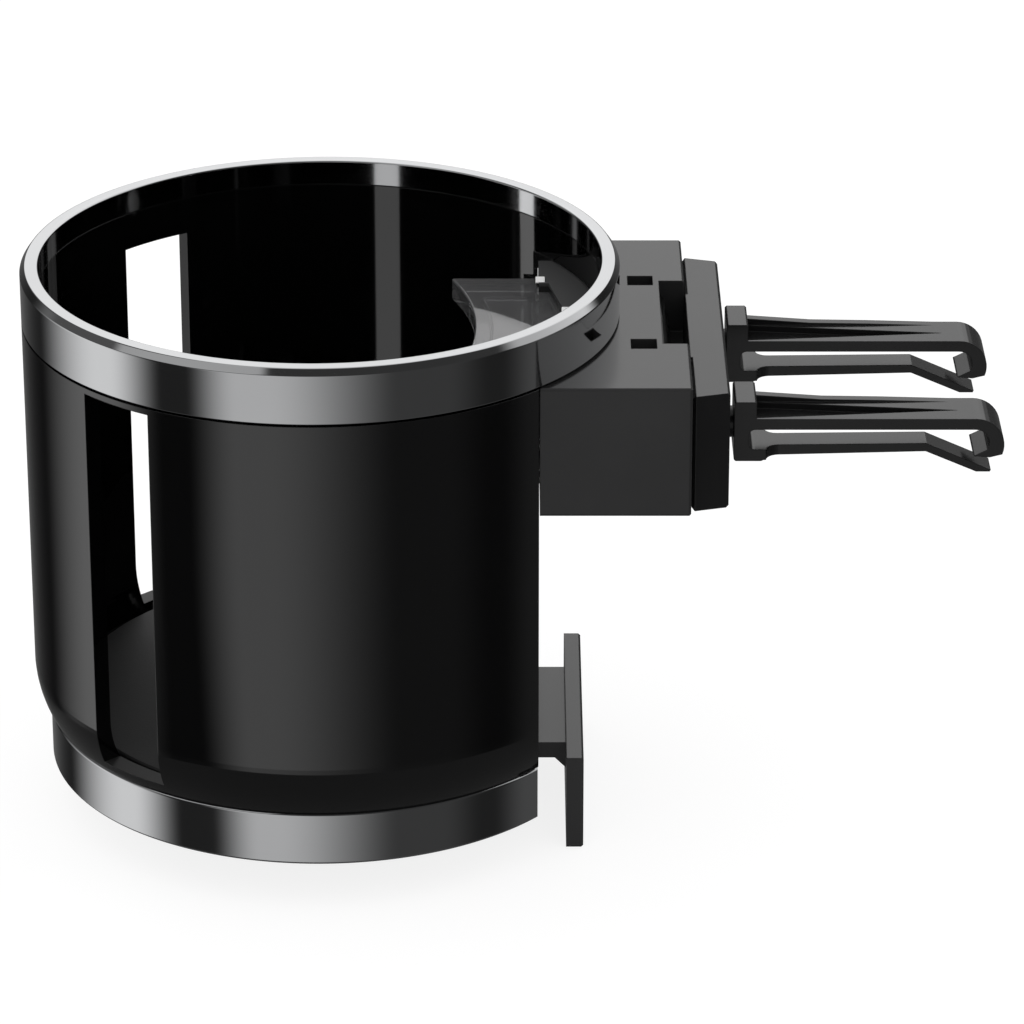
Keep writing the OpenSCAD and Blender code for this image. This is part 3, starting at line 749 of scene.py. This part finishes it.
low, high = node_box("base_ring")
outer, foot, top = -low[0], low[2], high[2]
band_outline = rounded_corners(
    [
        (outer - FLANGE_IN, foot), (outer - FOOT_CHAMFER, foot),
        (outer, foot + FOOT_CHAMFER), (outer, top - TOP_CHAMFER),
        (outer - TOP_CHAMFER, top), (outer - BAND_T, top),
        (outer - BAND_T, foot + FLANGE_T), (outer - FLANGE_IN, foot + FLANGE_T),
    ],
    [0.1, 0.25, 0.25, 0.4, 0.3, 0.1, 0.1, 0.1],
)
base_ring = surface(
    "base_band", *turned(*band_outline, BAND_COLUMNS, cut_at=high[0]),
    wrap_rows=True, wrap_columns=False,
    caps=[(slice(None), 0), (slice(None), -1)], cap_normals=[(1, 0, 0), (1, 0, 0)],
)
stands_for(base_ring, "base_ring", "dark_chrome")

# %% [markdown]
# The clear pad shows its edges as bright lines, because a rolled edge bends the light that
# goes through it. The pad is a plate with a hollow front, and a pocket from below that
# follows the front. First come its two outlines, seen from above. Both get the same number
# of points, so that one grid can go from one to the other.

# %% Outlines of the clear pad


def spread(points, normals, step):
    """The outline with more points: every point stays, and the flats get one each step mm."""
    loop = np.vstack([points, points[:1]])
    lean = np.vstack([normals, normals[:1]])
    run = np.concatenate([[0], np.cumsum(np.linalg.norm(np.diff(loop, axis=0), axis=1))])
    at = np.union1d(run, np.arange(0, run[-1], step))[:-1]
    out = np.stack([np.interp(at, run, loop[:, k]) for k in range(2)], axis=1)
    tilt = np.stack([np.interp(at, run, lean[:, k]) for k in range(2)], axis=1)
    return out, tilt / np.linalg.norm(tilt, axis=1, keepdims=True)


def seen_from(middle, outline, target):
    """The point of an outline in the direction of each target point.

    Its distance from the middle is read off at the target's angle.
    """
    offset = outline - middle
    angle = np.arctan2(offset[:, 1], offset[:, 0])
    order = np.argsort(angle)
    distance = np.linalg.norm(offset, axis=1)[order]
    aim = target - middle
    aim_angle = np.arctan2(aim[:, 1], aim[:, 0])
    far = np.interp(aim_angle, angle[order], distance, period=2 * np.pi)
    return middle + far[:, None] * np.stack([np.cos(aim_angle), np.sin(aim_angle)], axis=1)


def arc_front(centre_x, half_width, count):
    """The hollow front from +half_width to -half_width: x = centre_x + root(R^2 - y^2)."""
    y = np.linspace(half_width, -half_width, count)
    return np.stack([centre_x + np.sqrt(FRONT_R**2 - y**2), y], axis=1)


def front_radii(count, at_ends, others):
    """Radii of an outline whose first count points are the front: only its ends are rounded."""
    return [at_ends] + [0] * (count - 2) + [at_ends] + others


FLAT_BACK = 30.6  # the outer face of the cup's flat back
FRONT_R = 50.0
FRONT_DEPTH = 8.9  # from the flat back to the middle of the front
HALF_WIDTH = 18.65
EAR_REACH, EAR_X = HALF_WIDTH + 1.85, FLAT_BACK + 0.1  # the ears stop the pad at the flat back
POCKET_HALF, POCKET_BACK = 12.3, FLAT_BACK - 1
FRONT_T = 2.3  # the wall between the front and the pocket
POCKET_MIDDLE = np.array([27.0, 0.0])
FRONT_POINTS, POCKET_POINTS = 41, 31

low, high = node_box("stabiliser_pad")
front_centre = FLAT_BACK - FRONT_DEPTH - FRONT_R
plan = np.vstack([
    arc_front(front_centre, HALF_WIDTH, FRONT_POINTS),
    [
        (EAR_X, -HALF_WIDTH), (EAR_X, -EAR_REACH), (high[0], -EAR_REACH),
        (high[0], EAR_REACH), (EAR_X, EAR_REACH), (EAR_X, HALF_WIDTH),
    ],
])
plan_radii = front_radii(FRONT_POINTS, 0.35, [0.3, 0.4, 0.6, 0.6, 0.4, 0.3])
rim_loop, rim_lean = spread(*rounded_corners(plan, plan_radii), step=0.4)
pocket_plan = np.vstack([
    arc_front(front_centre + FRONT_T, POCKET_HALF, POCKET_POINTS),
    [(POCKET_BACK, -POCKET_HALF), (POCKET_BACK, POCKET_HALF)],
])
pocket_radii = front_radii(POCKET_POINTS, 0.6, [0.8, 0.8])
pocket_edge, _ = spread(*rounded_corners(pocket_plan, pocket_radii), step=0.1)
pocket_loop = seen_from(POCKET_MIDDLE, pocket_edge, rim_loop)
along = np.roll(pocket_loop, -1, axis=0) - np.roll(pocket_loop, 1, axis=0)
along /= np.linalg.norm(along, axis=1, keepdims=True)
pocket_lean = np.stack([along[:, 1], -along[:, 0]], axis=1)
print("points in each outline:", len(rim_loop))

# %% [markdown]
# The pad's skin is one grid: each row is a whole outline at one step of the way from the
# pocket's ceiling, down its wall, across the underside and up over the rim. Each rolled edge
# is a quarter of a circle: the outline draws in while its level rises or sinks.

# %% Skin of the clear pad


def rolled(loop, lean, inset, level, tilt):
    """Rows of a skin: the loop drawn in by inset along its own normal, at a level.

    Its normals are tilted up by tilt.
    """
    inset, level, tilt = (each[:, None, None] for each in (inset, level, tilt))
    rows = with_third(loop[None] - lean[None] * inset, level)
    return rows, with_third(lean[None] * np.cos(tilt), np.sin(tilt))


EDGE, INNER_EDGE = 0.3, 0.4
CEILING_T = 1.2
quarter = np.linspace(0, np.pi / 2, 6)
leaving, arriving = 1 - np.cos(quarter), 1 - np.sin(quarter)
ceiling = high[2] - CEILING_T
bands = [
    rolled(
        pocket_loop, -pocket_lean, -INNER_EDGE * arriving,
        ceiling - INNER_EDGE * leaving, quarter - np.pi / 2,
    ),
    rolled(pocket_loop, -pocket_lean, EDGE * leaving, low[2] + EDGE * arriving, -quarter),
    rolled(rim_loop, rim_lean, EDGE * arriving, low[2] + EDGE * leaving, quarter - np.pi / 2),
    rolled(rim_loop, rim_lean, EDGE * leaving, high[2] - EDGE * arriving, quarter),
]
skin, skin_lean = (np.concatenate(part) for part in zip(*bands))
pad = surface("clear_pad", skin, skin_lean, caps=[0, -1], cap_normals=[(0, 0, -1), (0, 0, 1)])
stands_for(pad, "stabiliser_pad", "clear_smoke")

# %% [markdown]
# The white guides are small shoes. Each has an L-shaped profile: its foot sits in a seat in
# the ledge, and its lip reaches over the wall. A profile with rounded corners is carried
# across, and it is drawn in a little at both ends, so that the ends have soft edges too.
# The middle guide has a plain profile.

# %% White guides


def carried(outline, normals, start, end, edge, steps=4):
    """An outline of (x, z) points carried along y from start to end, with rolled ends.

    In the last edge mm at each end the outline is drawn in along its normals by
    edge x (1 - cos of the turn), while y runs out by edge x sin of the turn.
    """
    turn = np.linspace(0, np.pi / 2, steps + 1)
    turn = np.concatenate([-turn[::-1], turn])[:, None, None]
    middle = np.repeat([start + edge, end - edge], steps + 1)[:, None, None]
    plane = outline[None] - normals[None] * (edge * (1 - np.cos(turn)))
    grid = with_third(plane, middle + edge * np.sin(turn))
    lean = with_third(normals[None] * np.cos(turn), np.sin(turn))
    return grid[..., [0, 2, 1]], lean[..., [0, 2, 1]]


SHOE_W, SHOE_EDGE, SHOE_LIP_T = 2.15, 0.1, 0.32
SHOE_FOOT = (FLAT_BACK + 0.2, FLAT_BACK + 1.0)
MIDDLE_T, MIDDLE_HALF = 1.7, 3.7

low, high = node_box("guide_shoes")
lip_z = high[2] - SHOE_LIP_T
side_profile = rounded_corners(
    [
        (SHOE_FOOT[0], low[2]), (SHOE_FOOT[1], low[2]), (SHOE_FOOT[1], high[2]),
        (low[0], high[2]), (low[0], lip_z), (SHOE_FOOT[0], lip_z),
    ],
    [0.1, 0.1, 0.12, 0.1, 0.08, 0.05],
)
middle_x = high[0] - MIDDLE_T
middle_profile = rounded_corners(
    [(middle_x, low[2]), (high[0], low[2]), (high[0], high[2]), (middle_x, high[2])], 0.15
)
for name, profile, start, end in (
    ("guide_left", side_profile, -high[1], -high[1] + SHOE_W),
    ("guide_right", side_profile, high[1] - SHOE_W, high[1]),
    ("guide_middle", middle_profile, -MIDDLE_HALF, MIDDLE_HALF),
):
    shoe = carried(*profile, start, end, SHOE_EDGE)
    guide = surface(name, *shoe, caps=[0, -1], cap_normals=[(0, -1, 0), (0, 1, 0)])
    stands_for(guide, "guide_shoes", "white_nylon")

# %% [markdown]
# Two small compression springs push the pad back out. Spring wire is wound round a rod, and
# the last turn at each end lies against the one before it, so that the spring stands square.
# A row of rings would look much like it from afar, but a spring is one wire. So the path of
# the wire is a helix with a small pitch at both ends, and a circle is carried along it. The
# springs stay in the block.

# %% Return springs


def coiled(start, end, middle, coil_r, wire, turns, steps=24, sides=10):
    """A wire wound along x from start to end round middle (y, z), as a grid with its normals.

    At the angle a the path is (x, y + coil_r cos a, z + coil_r sin a). x grows by one wire a
    turn in the first and last turn, and by more in between: the rate is wire + free x ease,
    where ease steps softly from 0 to 1, and free is what makes the sum reach the end. The
    circle lies across the path, between the outward direction and the one at right angles
    to it and to the path. The directions out of the wire's two ends come last.
    """
    a = np.linspace(0, 2 * np.pi * turns, turns * steps + 1)
    near_end = np.clip(np.minimum(a, a[-1] - a) / (2 * np.pi) - 0.5, 0, 1)
    ease = near_end**2 * (3 - 2 * near_end)
    summed = np.concatenate([[0], np.cumsum((ease[1:] + ease[:-1]) / 2)]) / steps
    free = (end - start - wire - wire * turns) / summed[-1]
    x = start + wire / 2 + wire * a / (2 * np.pi) + free * summed
    outward = np.stack([0 * a, np.cos(a), np.sin(a)], axis=1)
    path = np.stack([x, 0 * a + middle[0], 0 * a + middle[1]], axis=1) + coil_r * outward
    rate = (wire + free * ease) / (2 * np.pi)
    slope = np.stack([rate, -coil_r * np.sin(a), coil_r * np.cos(a)], axis=1)
    slope /= np.linalg.norm(slope, axis=1, keepdims=True)
    b = np.linspace(0, 2 * np.pi, sides, endpoint=False)[None, :, None]
    lean = np.cos(b) * outward[:, None] + np.sin(b) * np.cross(slope, outward)[:, None]
    return path[:, None] + wire / 2 * lean, lean, [-slope[0], slope[-1]]


WIRE, TURNS = 0.35, 7

low, high = node_box("pad_springs")
spring_l, coil_d = high[0] - low[0], high[2] - low[2]
seat_y, seat_z = (high[1] - low[1] - coil_d) / 2, (low[2] + high[2]) / 2
for name, y in (("spring_left", -seat_y), ("spring_right", seat_y)):
    grid, lean, ends = coiled(low[0], high[0], (y, seat_z), (coil_d - WIRE) / 2, WIRE, TURNS)
    spring = surface(name, grid, lean, caps=[0, -1], cap_normals=ends)
    stands_for(spring, "pad_springs", "bright_steel")
    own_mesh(spring)
